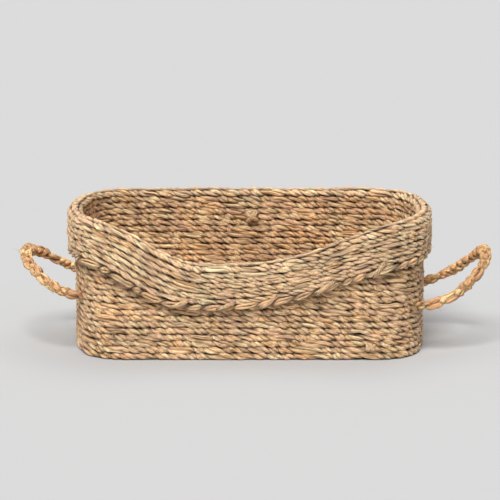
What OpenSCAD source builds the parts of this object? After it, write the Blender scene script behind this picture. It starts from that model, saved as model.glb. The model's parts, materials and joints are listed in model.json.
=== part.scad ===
// Twined bread basket: a flat base, a wall that dips at the front, a turned-down cuff with a roped
// border, and a braided handle at each end.
// X runs left to right, Y front to back, Z up. The origin is the middle of the underside.

/* [Footprint] */
// Length of the wall's middle line, left to right
wall_l = 339; // [290:1:410]
// Depth of the wall's middle line, front to back
wall_d = 170; // [140:1:206]
// Corner radius of the wall's middle line
corner_r = 41; // [34:1:50]
// Radius of the bowed left and right ends
end_r = 196; // [160:1:240]

/* [Weave] */
// Number of upright stakes round the wall, a multiple of four
stake_count = 60; // [48:4:72]
// Height of one course, a pair of wefts twined round the stakes
course_h = 6.2; // [5.1:0.1:7.5]
// Full courses, which run all the way round below the dip
full_courses = 14; // [12:1:16]
// Packed courses, which raise the back and the ends
packed_courses = 7; // [5:1:8]
// Thickness of the weft on each face of the stakes
weft_t = 3; // [2.4:0.1:3.8]
// Space between the two weft faces, where the stakes stand
stake_gap = 2; // [1.6:0.1:2.6]
// Width of one stake
stake_w = 5; // [4:0.1:6]
// Rings of weft in the base
base_rings = 5; // [4:1:6]

/* [Dip] */
// How far left of the middle the rim is lowest
dip_left = 41; // [0:1:60]
// Run of the rim from its lowest point up to the left end
dip_run_left = 118; // [95:1:150]
// Run of the rim from its lowest point up to the right end
dip_run_right = 208; // [170:1:250]
// How gently the rim leaves its lowest point on the right
dip_ease_right = 1.7; // [1:0.1:2]

/* [Cuff] */
// Courses on the hanging face of the cuff
cuff_courses = 6; // [4:1:7]
// Height of one cuff course, measured square to the rim
cuff_course_h = 5.1; // [4.2:0.1:6.2]
// Share by which the cuff hangs lower left of the dip and higher right of it
cuff_lean = 0.1; // [0:0.01:0.15]
// Thickness of the cuff
cuff_t = 6.2; // [5:0.1:8]
// Space between the wall and the cuff
cuff_gap = 0.5; // [0.4:0.1:1.5]
// Height of the roped border under the cuff
border_h = 6.4; // [5:0.1:7.7]

/* [Handles] */
// Diameter of the braid
braid_d = 10; // [8:0.1:12]
// Diameter of the braid where it is squeezed through the wall
root_d = 8; // [6:0.1:9]
// Distance from the wall to the line that a loop swings on
hinge_out = 8; // [7:0.5:12]
// Stakes from the middle of the end to the left handle's front leg
left_front_leg = 4; // [3:1:4]
// Stakes from the middle of the end to the left handle's back leg
left_back_leg = 4; // [3:1:4]
// Height of the left handle's legs
left_leg_z = 57.5; // [48:0.5:70]
// Length of the left loop from its hinge line to its far end
left_loop_l = 62; // [50:1:75]
// Slope of the left loop where it leaves the wall
left_root_slope = 17; // [0:1:25]
// Slope of the left loop at its far end
left_tip_slope = 47; // [30:1:60]
// Stakes from the middle of the end to the right handle's front leg
right_front_leg = 4; // [3:1:4]
// Stakes from the middle of the end to the right handle's back leg
right_back_leg = 3; // [3:1:4]
// Height of the right handle's legs
right_leg_z = 48; // [40:0.5:60]
// Length of the right loop from its hinge line to its far end
right_loop_l = 74; // [60:1:89]
// Slope of the right loop where it leaves the wall
right_root_slope = 14; // [0:1:25]
// Slope of the right loop at its far end
right_tip_slope = 58; // [30:1:60]

/* [Hidden] */
$fn = 48;
function two_digits(k) = str(k < 10 ? "0" : "", k);

straw = "#c9a77c";
pale_straw = "#d8bb92";
braid_colour = "#c8935a";

fit = 0.1; // clearance round a stake or a root, under the fold, and where two lengths of weft are spliced
swing_gap = 0.4; // clearance between a root and the loop that swings beside it
thinnest = 0.5; // where a packed course ends in a point
knot_r = 2.2; // radius of one turn of a knot

// The outline: straight front and back, round corners and bowed ends
half_l = wall_l / 2;
half_d = wall_d / 2;
corner_y = half_d - corner_r;
end_x = half_l - end_r;
end_angle = asin(corner_y / (end_r - corner_r));
corner_x = end_x + (end_r - corner_r) * cos(end_angle);
corner_len = corner_r * (90 - end_angle) * PI / 180;
end_len = end_r * end_angle * PI / 180;
quarter = corner_x + corner_len + end_len;
pitch = 4 * quarter / stake_count;
quarter_stakes = stake_count / 4;

// The wall, base and cuff
wall_out = stake_gap / 2 + weft_t;
base_t = 2 * weft_t + stake_gap;
dip_depth = packed_courses * course_h;
wall_h = full_courses * course_h + dip_depth;
cuff_in = wall_out + cuff_gap;
cuff_out = cuff_in + cuff_t;
fold_off = (cuff_out - wall_out) / 2;
fold_r = (cuff_out + wall_out) / 2;
fold_hole_r = cuff_gap / 2;

// The handles
root_r = root_d / 2;
hole_r = root_r + fit;

// ---- Outline ----

// One quarter of the outline, from the middle of the front to the middle of the right end
function quarter_point(run, off) =
    run < corner_x ? [run, -half_d - off]
    : run < corner_x + corner_len
        ? let (a = (run - corner_x) / corner_r * 180 / PI)
            [corner_x + (corner_r + off) * sin(a), -corner_y - (corner_r + off) * cos(a)]
        : let (a = (quarter - run) / end_r * 180 / PI)
            [end_x + (end_r + off) * cos(a), -(end_r + off) * sin(a)];

// The point at distance s along the middle line, moved out by off; s is 0 at the middle of the front
function wall_point(s, off) =
    let (lap = s - 4 * quarter * floor(s / (4 * quarter)), k = floor(lap / quarter),
         run = lap - k * quarter, back = k % 2 == 1, p = quarter_point(back ? quarter - run : run, off),
         q = back ? [p[0], -p[1]] : p)
    k < 2 ? q : [-q[0], -q[1]];

// Corner i of the many-sided outline; the corners lie half-way between the stakes
function corner(i, off) = wall_point(i * pitch, off);

// The point at f sides round the outline, where f needn't be whole
function side_point(f, off) =
    let (i = floor(f), part = f - i) corner(i, off) * (1 - part) + corner(i + 1, off) * part;

// A row is woven in four lengths, spliced at the middle of each side. These are the places that
// length k passes, counted in sides round the outline.
function length_start(k) = k * quarter_stakes + fit / 2 / pitch;
function length_end(k) = (k + 1) * quarter_stakes - fit / 2 / pitch;
function length_places(k) = concat(
    [length_start(k)], [for (i = [1:quarter_stakes - 1]) k * quarter_stakes + i], [length_end(k)]);

// ---- Rim ----

// Signed distance along the wall, f sides round the outline, from the lowest point of the rim
function from_dip(f) = let (lap = 4 * quarter, d = f * pitch + dip_left) d - lap * round(d / lap);
function dip_share(f) = let (d = from_dip(f)) min(1, d < 0 ? -d / dip_run_left : d / dip_run_right);

// Height of the wall under the fold; it runs straight between two corners
function top_of(f) =
    wall_h - dip_depth * (1 - pow((1 - cos(180 * dip_share(f))) / 2, from_dip(f) < 0 ? 1 : dip_ease_right));
function side_top(f) =
    let (i = floor(f), part = f - i) top_of(i) * (1 - part) + top_of(i + 1) * part;

// Length of the rim for each unit of its run
function slant(f) = let (rise = (top_of(f + 1) - top_of(f - 1)) / (2 * pitch)) sqrt(1 + rise * rise);

// Height below the fold of a line that is the given distance down the cuff
function cuff_drop(f, down) =
    let (lean = (from_dip(f) < 0 ? 1 : -1) * (1 - cos(360 * dip_share(f))) / 2)
    down * slant(f) * (1 + cuff_lean * lean);

// ---- Shared shapes ----

// A solid through sections with equal numbers of points. Each side is split from the corner nearer
// the middle of the basket, so that bands that meet share faces.
module loft(sections) {
    n = len(sections);
    m = len(sections[0]);
    points = [for (section = sections) each section];
    function at(i, j) = i * m + j % m;
    function from_middle(i) = norm([points[i][0], points[i][1]]);
    sides = [for (i = [0:n - 2]) for (j = [0:m - 1])
        let (p = at(i, j), q = at(i, j + 1), r = at(i + 1, j + 1), s = at(i + 1, j))
        each from_middle(p) < from_middle(q) ? [[p, q, r], [p, r, s]] : [[p, q, s], [q, r, s]]];
    caps = [[for (j = [m - 1:-1:0]) at(0, j)], [for (j = [0:m - 1]) at(n - 1, j)]];
    polyhedron(points, concat(sides, caps), convexity = 10);
}

// A level row of weft between two offsets of the outline
module level_row(off_in, off_out, z0, z1) {
    for (k = [0:3]) {
        places = length_places(k);
        translate([0, 0, z0])
            linear_extrude(z1 - z0)
                polygon(concat([for (f = places) side_point(f, off_out)],
                    [for (j = [len(places) - 1:-1:0]) side_point(places[j], off_in)]));
    }
}

// Section of a weft band at f sides round the outline
function band_section(f, off_in, off_out, z0, z1) =
    let (a = side_point(f, off_in), b = side_point(f, off_out))
    [[a[0], a[1], z0], [a[0], a[1], z1], [b[0], b[1], z1], [b[0], b[1], z0]];

// Section that stands square to the outline, f sides round it; each point is [offset, height]
function upright_section(f, shape) =
    let (a = side_point(f, 0), out = side_point(f, 1) - a)
    [for (p = shape) [a[0] + out[0] * p[0], a[1] + out[1] * p[0], p[1]]];

// ---- Base and wall ----

// Corner i of the base's inner outlines, which shrink towards a centre line
base_line_half = half_l - half_d;
function base_corner(i, share, off) =
    let (p = corner(i, off), centre = [max(-base_line_half, min(base_line_half, p[0])), 0])
    centre + (p - centre) * share;
function base_outline(share, off) = [for (i = [0:stake_count - 1]) base_corner(i, share, off)];

// One ring of the base: a lower and an upper face with the stakes lying between them
module base_ring(k) {
    outer = 1 - (k - 1) / base_rings;
    inner = outer - 1 / base_rings;
    color(straw)
        for (face = [0, 1])
            translate([0, 0, face * (weft_t + stake_gap)])
                linear_extrude(weft_t)
                    difference() {
                        off = (face == 0 ? 1 : -1) * stake_gap / 2;
                        polygon(base_outline(outer, off));
                        if (k < base_rings) polygon(base_outline(inner, off));
                    }
}

// One full course: its outer face, its inner face above the base, and the bores for the roots
module wall_course(k) {
    z0 = (k - 1) * course_h;
    z1 = k * course_h;
    color(straw)
        difference() {
            union() {
                level_row(stake_gap / 2, wall_out, z0, z1);
                if (z1 > base_t) level_row(-wall_out, -stake_gap / 2, max(z0, base_t), z1);
            }
            for (side = [-1, 1])
                if (abs(leg_z(side) - (z0 + z1) / 2) < hole_r + course_h / 2) root_bores(side);
        }
}

// Places that length k of a packed course passes, with its pointed ends on each side of the dip
function packed_places(k, z0) =
    let (places = length_places(k), last = len(places) - 1, low = z0 + thinnest)
    [for (j = [0:last])
        let (f = places[j], next = places[min(j + 1, last)], a = side_top(f) - low, b = side_top(next) - low)
        each concat(a > 0 ? [f] : [], a * b < 0 ? [f + (next - f) * a / (a - b)] : [])];

// One packed course: it fills the back and the ends up to the line of the fold
module packed_course(k) {
    z0 = (full_courses + k - 1) * course_h;
    lowest = stake_count - dip_left / pitch;
    color(straw)
        for (length = [0:3], side = [-1, 1]) {
            run = [for (f = packed_places(length, z0)) if (side * (f - lowest) > 0) f];
            if (len(run) > 1)
                for (faces = [[-wall_out, -stake_gap / 2], [stake_gap / 2, wall_out]])
                    loft([for (f = run)
                        band_section(f, faces[0], faces[1], z0, min(z0 + course_h, side_top(f)))]);
        }
}

// One stake: it lies in the base, bends, and stands inside the wall to just under the fold
module stake(i) {
    a = corner(i, 0);
    b = corner(i + 1, 0);
    mid = (a + b) / 2;
    thick = stake_gap - 2 * fit;
    low = weft_t + fit;
    high = min(top_of(i), top_of(i + 1)) - fit;
    inward = abs(mid[0]) < corner_x ? half_d - stake_w / 2
        : abs(mid[1]) < corner_y ? half_l - corner_x - stake_w
        : corner_r * (1 - (stake_w + 1) / pitch);
    translate([mid[0], mid[1], 0])
        rotate(atan2(b[1] - a[1], b[0] - a[0]))
            translate([-stake_w / 2, 0, 0])
                rotate([90, 0, 90])
                    linear_extrude(stake_w)
                        polygon([[-thick / 2, low], [inward, low], [inward, low + thick],
                            [thick / 2, low + thick], [thick / 2, high], [-thick / 2, high]]);
}

end_half = round((corner_len / 2 + end_len) / pitch);
long_half = quarter_stakes - end_half;

module long_stakes(middle) {
    color(straw)
        for (i = [middle - long_half:middle + long_half - 1])
            stake((i + stake_count) % stake_count);
}

module end_stakes(side) {
    middle = (2 - side) * quarter_stakes;
    color(straw)
        difference() {
            for (i = [middle - end_half:middle + end_half - 1])
                stake(i);
            root_bores(side);
        }
}

// ---- Fold, cuff and border ----

// One third of the fold that turns the wall outwards and down; the first third stands just clear of
// the wall's last row
module fold(k) {
    steps = 3;
    arc = [for (a = [0:steps]) 180 - 60 * (k + a / steps)];
    lowest = k == 0 ? fit : 0;
    shape = concat([for (a = arc) fold_r * [cos(a), sin(a)]],
                   [for (a = [arc[steps], arc[0]]) fold_hole_r * [cos(a), sin(a)]]);
    color(pale_straw)
        for (length = [0:3])
            loft([for (f = length_places(length))
                upright_section(f, [for (p = shape) [fold_off + p[0], side_top(f) + max(p[1], lowest)]])]);
}

// One course on the hanging face of the cuff
module cuff_course(k) {
    color(pale_straw)
        for (length = [0:3])
            loft([for (f = length_places(length))
                band_section(f, cuff_in, cuff_out, side_top(f) - cuff_drop(f, k * cuff_course_h),
                    side_top(f) - cuff_drop(f, (k - 1) * cuff_course_h))]);
}

// The roped border that closes the cuff's edge: flat on top and round below
module border_rope() {
    middle = (cuff_in + cuff_out) / 2;
    steps = 6;
    shape = [for (a = [0:steps]) [cos(180 * a / steps), -pow(sin(180 * a / steps), 0.8)]];
    color(straw)
        for (length = [0:3])
            loft([for (f = length_places(length))
                upright_section(f, [for (p = shape) [middle + p[0] * cuff_t / 2,
                    side_top(f) - cuff_drop(f, cuff_courses * cuff_course_h - p[1] * border_h)]])]);
}

// ---- Handles: side is -1 for the left end and 1 for the right end ----

function leg_z(side) = side < 0 ? left_leg_z : right_leg_z;

// Corner of the outline that a leg goes through; leg is -1 for the front one and 1 for the back one
function leg_corner(side, leg) =
    let (stakes = side < 0 ? (leg < 0 ? left_front_leg : left_back_leg)
                           : (leg < 0 ? right_front_leg : right_back_leg))
    (2 - side) * quarter_stakes + side * leg * stakes;
function leg_y(side, leg) = corner(leg_corner(side, leg), 0)[1];
function hinge_x(side) =
    max([for (leg = [-1, 1]) abs(corner(leg_corner(side, leg), wall_out)[0])]) + hinge_out;

// X at which a knot round a root clears the curved inner face of the wall
function knot_x(side, leg) =
    let (r = corner_r - wall_out, reach = abs(leg_y(side, leg)) + root_r + 2 * knot_r - corner_y)
    corner_x + r * cos(asin(max(0, min(1, reach / r)))) - 1;

// A point on the loop's side view, bowed upwards, at distance u from the hinge line
function bow(u, long, root_slope, tip_slope) =
    let (steps = 12, slopes = [for (k = [0.5:1:steps]) root_slope + (tip_slope - root_slope) * k / steps * u / long])
    u / steps * [ones(steps) * [for (a = slopes) cos(a)], ones(steps) * [for (a = slopes) sin(a)]];
function ones(n) = [for (k = [1:n]) 1];

// The loop's middle line: short straight legs joined by a half round
function loop_point(t, long, half_y, root_slope, tip_slope) =
    let (straight = 0.1 * long, leg_share = 0.06, round_t = (t - leg_share) / (1 - 2 * leg_share),
         u = t < leg_share ? straight * t / leg_share
            : t > 1 - leg_share ? straight * (1 - t) / leg_share
            : straight + (long - straight) * sin(180 * round_t),
         p = bow(u, long, root_slope, tip_slope))
    [p[0], -half_y * cos(180 * max(0, min(1, round_t))), p[1]];

module handle_loop(side, long, root_slope, tip_slope) {
    rings = 26;
    sides = 10;
    legs = [leg_y(side, -1), leg_y(side, 1)];
    path = [for (k = [0:rings]) loop_point(k / rings, long, (legs[1] - legs[0]) / 2, root_slope, tip_slope)];
    sections = [for (k = [0:rings])
        let (along = path[min(k + 1, rings)] - path[max(k - 1, 0)], t = along / norm(along),
             across0 = cross(t, [-sin(tip_slope), 0, cos(tip_slope)]),
             across = across0 / norm(across0), up = cross(across, t))
        [for (j = [0:sides - 1])
            path[k] + braid_d / 2 * (cos(360 * j / sides) * across + sin(360 * j / sides) * up)]];
    translate([side * hinge_x(side), 0, leg_z(side)]) {
        translate([0, (legs[0] + legs[1]) / 2, 0])
            mirror([side < 0 ? 1 : 0, 0, 0])
                loft(sections);
        for (y = legs)
            translate([0, y, 0])
                rotate([90, 0, 0])
                    cylinder(h = braid_d, d = braid_d, center = true);
    }
}

// The ends of the braid, squeezed through the wall
module handle_roots(side) {
    outer = hinge_x(side) - braid_d / 2 - swing_gap;
    for (leg = [-1, 1]) {
        inner = knot_x(side, leg) - 4 * knot_r - 3;
        translate([side * inner, leg_y(side, leg), leg_z(side)])
            rotate([0, side * 90, 0])
                cylinder(h = outer - inner, r = root_r);
    }
}

module root_bores(side) {
    for (leg = [-1, 1])
        translate([0, leg_y(side, leg), leg_z(side)])
            rotate([0, side * 90, 0])
                cylinder(h = hinge_x(side), r = hole_r);
}

// Two turns of each end round its root, which stop it being pulled out
module handle_knots(side) {
    for (leg = [-1, 1])
        for (turn = [0, 1])
            translate([side * (knot_x(side, leg) - knot_r * (1 + 2 * turn)), leg_y(side, leg), leg_z(side)])
                rotate([0, 90, 0])
                    rotate_extrude()
                        translate([root_r + knot_r, 0])
                            circle(r = knot_r);
}

// ---- Nodes ----

for (k = [1:base_rings])
    base_ring(k);
for (k = [1:full_courses])
    wall_course(k);
for (k = [1:packed_courses])
    packed_course(k);
fold(0);  // fold_inner
fold(1);  // fold_crest
fold(2);  // fold_outer
for (k = [1:cuff_courses])
    cuff_course(k);
border_rope();
long_stakes(0);  // front_stakes
end_stakes(1);  // right_stakes
long_stakes(2 * quarter_stakes);  // back_stakes
end_stakes(-1);  // left_stakes
color(braid_colour) handle_loop(-1, left_loop_l, left_root_slope, left_tip_slope);  // left_handle
color(braid_colour) handle_roots(-1);  // left_handle_roots
color(braid_colour) handle_knots(-1);  // left_handle_knots
color(braid_colour) handle_loop(1, right_loop_l, right_root_slope, right_tip_slope);  // right_handle
color(braid_colour) handle_roots(1);  // right_handle_roots
color(braid_colour) handle_knots(1);  // right_handle_knots
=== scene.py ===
# Bread basket of twined seagrass: every row of weft, the fold, cuff and border, and two plaited handles.
import json
import math

import bpy
import numpy as np
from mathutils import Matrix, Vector

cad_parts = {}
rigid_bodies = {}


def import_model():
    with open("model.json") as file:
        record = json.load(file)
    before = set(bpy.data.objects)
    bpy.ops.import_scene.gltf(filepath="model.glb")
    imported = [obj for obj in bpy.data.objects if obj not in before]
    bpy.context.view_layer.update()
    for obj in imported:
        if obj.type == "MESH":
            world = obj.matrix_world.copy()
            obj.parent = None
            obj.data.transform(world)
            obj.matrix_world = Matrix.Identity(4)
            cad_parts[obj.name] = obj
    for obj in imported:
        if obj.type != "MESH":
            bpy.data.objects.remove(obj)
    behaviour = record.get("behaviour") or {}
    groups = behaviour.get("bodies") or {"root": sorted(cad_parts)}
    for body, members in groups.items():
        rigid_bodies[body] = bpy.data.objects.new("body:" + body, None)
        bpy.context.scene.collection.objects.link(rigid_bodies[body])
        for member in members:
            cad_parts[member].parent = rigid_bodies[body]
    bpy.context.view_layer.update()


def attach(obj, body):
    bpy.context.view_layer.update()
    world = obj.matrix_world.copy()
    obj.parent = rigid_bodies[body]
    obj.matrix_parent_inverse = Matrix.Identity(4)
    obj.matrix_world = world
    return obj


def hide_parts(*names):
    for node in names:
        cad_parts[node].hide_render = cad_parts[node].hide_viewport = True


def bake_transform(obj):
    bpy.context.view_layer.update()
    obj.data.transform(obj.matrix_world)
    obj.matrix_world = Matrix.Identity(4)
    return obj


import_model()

MM = 0.001

# ---- Sizes, in millimetres, as the design has them ----
WALL_L, WALL_D = 339.0, 170.0
CORNER_R, END_R = 41.0, 196.0
STAKES = 60
COURSE_H = 6.2
FULL_COURSES, PACKED_COURSES = 14, 7
WEFT_T, STAKE_GAP = 3.0, 2.0
DIP_LEFT, DIP_RUN_LEFT, DIP_RUN_RIGHT, DIP_EASE_RIGHT = 41.0, 118.0, 208.0, 1.7
CUFF_COURSES, CUFF_COURSE_H, CUFF_LEAN = 6, 5.1, 0.1
CUFF_T, CUFF_GAP, BORDER_H = 6.2, 0.5, 6.4
BASE_RINGS, ROWS_PER_RING = 5, 3
BRAID_D, ROOT_D, HINGE_OUT, KNOT_R = 10.0, 8.0, 8.0, 2.2

HALF_L, HALF_D = WALL_L / 2, WALL_D / 2
CORNER_Y = HALF_D - CORNER_R
END_X = HALF_L - END_R
END_ANGLE = math.asin(CORNER_Y / (END_R - CORNER_R))
CORNER_X = END_X + (END_R - CORNER_R) * math.cos(END_ANGLE)
CORNER_LEN = CORNER_R * (math.pi / 2 - END_ANGLE)
QUARTER = CORNER_X + CORNER_LEN + END_R * END_ANGLE
AROUND = 4 * QUARTER
PITCH = AROUND / STAKES
WALL_OUT = STAKE_GAP / 2 + WEFT_T
BASE_T = 2 * WEFT_T + STAKE_GAP
DIP_DEPTH = PACKED_COURSES * COURSE_H
WALL_H = FULL_COURSES * COURSE_H + DIP_DEPTH
CUFF_IN = WALL_OUT + CUFF_GAP
CUFF_OUT = CUFF_IN + CUFF_T
CUFF_MID = (CUFF_IN + CUFF_OUT) / 2
FOLD_OFF = (CUFF_OUT - WALL_OUT) / 2
FOLD_R = (CUFF_OUT + WALL_OUT) / 2
BORDER_DROP = CUFF_COURSES * CUFF_COURSE_H + BORDER_H / 2


def wall_point(s, off):
    """The point at distance s round the wall's middle line from the front's middle, moved out by off."""
    lap = s % AROUND
    quarter = int(lap // QUARTER) % 4
    run = lap - quarter * QUARTER
    back = quarter % 2 == 1
    run = QUARTER - run if back else run
    if run < CORNER_X:
        x, y = run, -HALF_D - off
    elif run < CORNER_X + CORNER_LEN:
        turn = (run - CORNER_X) / CORNER_R
        x = CORNER_X + (CORNER_R + off) * math.sin(turn)
        y = -CORNER_Y - (CORNER_R + off) * math.cos(turn)
    else:
        turn = (QUARTER - run) / END_R
        x, y = END_X + (END_R + off) * math.cos(turn), -(END_R + off) * math.sin(turn)
    y = -y if back else y
    return np.array((x, y) if quarter < 2 else (-x, -y))


def outward(s):
    return wall_point(s, 1.0) - wall_point(s, 0.0)


def from_dip(s):
    d = s + DIP_LEFT
    return d - AROUND * round(d / AROUND)


def dip_share(s):
    d = from_dip(s)
    return min(1.0, -d / DIP_RUN_LEFT if d < 0 else d / DIP_RUN_RIGHT)


def top_of(s):
    rise = (1 - math.cos(math.pi * dip_share(s))) / 2
    return WALL_H - DIP_DEPTH * (1 - rise ** (1.0 if from_dip(s) < 0 else DIP_EASE_RIGHT))


def cuff_drop(s, down):
    slant = math.hypot(1.0, (top_of(s + PITCH) - top_of(s - PITCH)) / (2 * PITCH))
    side = 1.0 if from_dip(s) < 0 else -1.0
    lean = side * (1 - math.cos(2 * math.pi * dip_share(s))) / 2
    return down * slant * (1 + CUFF_LEAN * lean)


# ---- Node helper ----


def add(tree, kind, inputs=None, **settings):
    """Adds a node with its settings; inputs maps a socket's name or number to a value, a socket or a node."""
    made = tree.nodes.new(kind)
    for name, value in settings.items():
        setattr(made, name, value)
    for key, value in (inputs or {}).items():
        if isinstance(value, bpy.types.Node):
            value = value.outputs[0]
        if isinstance(value, bpy.types.NodeSocket):
            tree.links.new(value, made.inputs[key])
        else:
            made.inputs[key].default_value = value
    return made


def hex_linear(code):
    """An sRGB hex value as linear red, green and blue with alpha."""
    parts = [int(code[i:i + 2], 16) / 255 for i in (1, 3, 5)]
    return tuple(c / 12.92 if c <= 0.04045 else ((c + 0.055) / 1.055) ** 2.4 for c in parts) + (1.0,)


# ---- Seagrass ----

# The dark brown of the painted crevice shade, which stands in for shadow and a little dirt
CREVICE_SHADE_COLOUR = "#3c1e0a"
FIBRE_STEP = 1.2  # how far the pattern moves on along one pick, in strand radii
TONE_STEP = 40.0  # sets each pick's pattern apart from the others'
BLADE_SCALE, FIBRE_SCALE = 2.0, 6.5
PATCH_SCALE = 33.0  # per metre, so patches are about 30 mm across
BLADE_SHARE = 0.8
# Each range is from low, from high, to low, to high
PICK_RANGE = (0.0, 1.0, -0.2, 0.4)
PATCH_RANGE = (0.35, 0.65, 0.92, 1.18)
LINE_RANGE = (0.34, 0.64, 0.55, 1.45)
EDGE_RANGE = (0.36, 0.5, 0.6, 1.12)
# How proud a place stands where the painted crevice shade is at its darkest
CREVICE_SHADE_END = 0.3
BUMP_DEPTH = 0.9 * MM


def seagrass(name, picks, soften, crevice_shade):
    """Dried, hand-twisted seagrass: dull blades with fine lengthwise fibres, each pick its own tone.

    picks are its colours from dark to pale. Where it stands less proud than soften, painted crevice shade,
    with a little dirt, turns it dark brown, by up to the share given last.
    """
    made = bpy.data.materials.new(name)
    made.use_nodes = True
    tree = made.node_tree
    tree.nodes.clear()
    tone = add(tree, "ShaderNodeAttribute", attribute_name="tone")
    proud = add(tree, "ShaderNodeAttribute", attribute_name="proud")
    round_at = add(tree, "ShaderNodeAttribute", attribute_name="round")
    along = add(tree, "ShaderNodeAttribute", attribute_name="along")
    place = add(tree, "ShaderNodeTexCoord")

    # Fibre coordinates: round the strand in strand radii, and slower along it, so streaks run lengthwise
    around = add(tree, "ShaderNodeSeparateXYZ", {0: round_at.outputs["Vector"]})
    slow = add(tree, "ShaderNodeMath", {0: along.outputs["Fac"], 1: FIBRE_STEP}, operation="MULTIPLY")
    slow = add(tree, "ShaderNodeMath", {0: tone.outputs["Fac"], 1: TONE_STEP, 2: slow},
               operation="MULTIPLY_ADD")
    fibre_at = add(tree, "ShaderNodeCombineXYZ", {0: around.outputs[0], 1: around.outputs[1], 2: slow})
    # Blades about 1 mm wide run the length of each strand, and finer fibres run in them
    blades = add(tree, "ShaderNodeTexNoise",
                 {"Vector": fibre_at, "Scale": BLADE_SCALE, "Detail": 3.0, "Roughness": 0.6})
    fibres = add(tree, "ShaderNodeTexNoise",
                 {"Vector": fibre_at, "Scale": FIBRE_SCALE, "Detail": 2.0, "Roughness": 0.7})
    # Patches 30 mm across, where the grass was cut greener or dried browner
    patches = add(tree, "ShaderNodeTexNoise",
                  {"Vector": place.outputs["Object"], "Scale": PATCH_SCALE, "Detail": 2.0})
    pick = add(tree, "ShaderNodeMapRange", dict(enumerate((tone.outputs["Fac"], *PICK_RANGE))))
    pick = add(tree, "ShaderNodeMath", {0: blades, 1: BLADE_SHARE, 2: pick}, operation="MULTIPLY_ADD")
    ramp = add(tree, "ShaderNodeValToRGB", {0: pick})
    stops = ramp.color_ramp.elements
    stops[0].color, stops[1].color = hex_linear(picks[0]), hex_linear(picks[-1])
    for i, code in enumerate(picks[1:-1], 1):
        stops.new(i / (len(picks) - 1)).color = hex_linear(code)
    light = add(tree, "ShaderNodeMapRange", dict(enumerate((patches, *PATCH_RANGE))))
    lines = add(tree, "ShaderNodeMapRange", dict(enumerate((fibres, *LINE_RANGE))))
    light = add(tree, "ShaderNodeMath", {0: light, 1: lines}, operation="MULTIPLY")
    edges = add(tree, "ShaderNodeMapRange", dict(enumerate((blades, *EDGE_RANGE))))
    light = add(tree, "ShaderNodeMath", {0: light, 1: edges}, operation="MULTIPLY")
    lit = add(tree, "ShaderNodeMix", {0: 1.0, 6: ramp, 7: light}, data_type="RGBA",
              blend_type="MULTIPLY")
    # Painted shade, with a little dirt: brown in the crevices, where a strand dives between its neighbours
    crevice_shade_mask = add(tree, "ShaderNodeMapRange",
               {0: proud.outputs["Fac"], 1: soften, 2: CREVICE_SHADE_END, 3: 0.0, 4: crevice_shade})
    colour = add(tree, "ShaderNodeMix", {0: crevice_shade_mask, 6: lit.outputs[2], 7: hex_linear(CREVICE_SHADE_COLOUR)},
                 data_type="RGBA")
    height = add(tree, "ShaderNodeMath", {0: blades, 1: 2.0, 2: fibres}, operation="MULTIPLY_ADD")
    bump = add(tree, "ShaderNodeBump", {"Strength": 1.0, "Distance": BUMP_DEPTH, "Height": height})
    surface = add(tree, "ShaderNodeBsdfPrincipled", {
        "Base Color": colour.outputs[2], "Roughness": 0.55, "IOR": 1.45, "Specular IOR Level": 0.4,
        "Sheen Weight": 0.08, "Sheen Roughness": 0.5, "Normal": bump})
    add(tree, "ShaderNodeOutputMaterial", {"Surface": surface})
    return made


STRAW_PICKS = ("#a87246", "#dea874", "#f2c892", "#e8b894", "#e6c290", "#f8d8a8", "#fff0d4")
CUFF_PICKS = ("#b27c4c", "#e4b07c", "#f4ce9c", "#eabe9c", "#e8c898", "#fadeb0", "#fff4de")
BRAID_PICKS = ("#8c5a34", "#cc9058", "#e8ba7e", "#d89e72", "#d8ac76", "#f2cc90", "#fae6be")
WALL_GRASS = seagrass("dried_seagrass_wall", STRAW_PICKS, 1.0, 1.0)
CUFF_GRASS = seagrass("dried_seagrass_cuff", CUFF_PICKS, 0.93, 1.0)
BASE_GRASS = seagrass("dried_seagrass_base", STRAW_PICKS, 0.8, 0.9)
STAKE_GRASS = seagrass("dried_seagrass_stakes", STRAW_PICKS, 0.8, 0.0)
BRAID_GRASS = seagrass("plaited_seagrass", BRAID_PICKS, 0.75, 0.8)

# ---- Strands along a path ----

DRIFT_SCALE, DRIFT_TURN = 32.0, 16.0
WANDER_SCALE, FOLLOW_SHARE = 26.0, 0.4
UNEVEN_SCALE, UNEVEN_SIZE = 85.0, 1.6
OWN_STEP, OWN_SEED_STEP = 11.3, 3.7
OUT_POWER, EDGE_POWER = 0.75, 0.78  # below 1, a beat dwells at its ends and a section gets flatter faces
END_POWER, LEAST_END = 0.5, 0.1
CREASES = ((3.0, 19.0, 1.0), (5.0, 31.0, -1.0))  # waves round the section, shift by tone, way round
WHOLE_SLACK = 0.01  # keeps a whole number from rounding down
NOISE_MIDDLE = (0.5, 0.5, 0.5)

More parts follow.
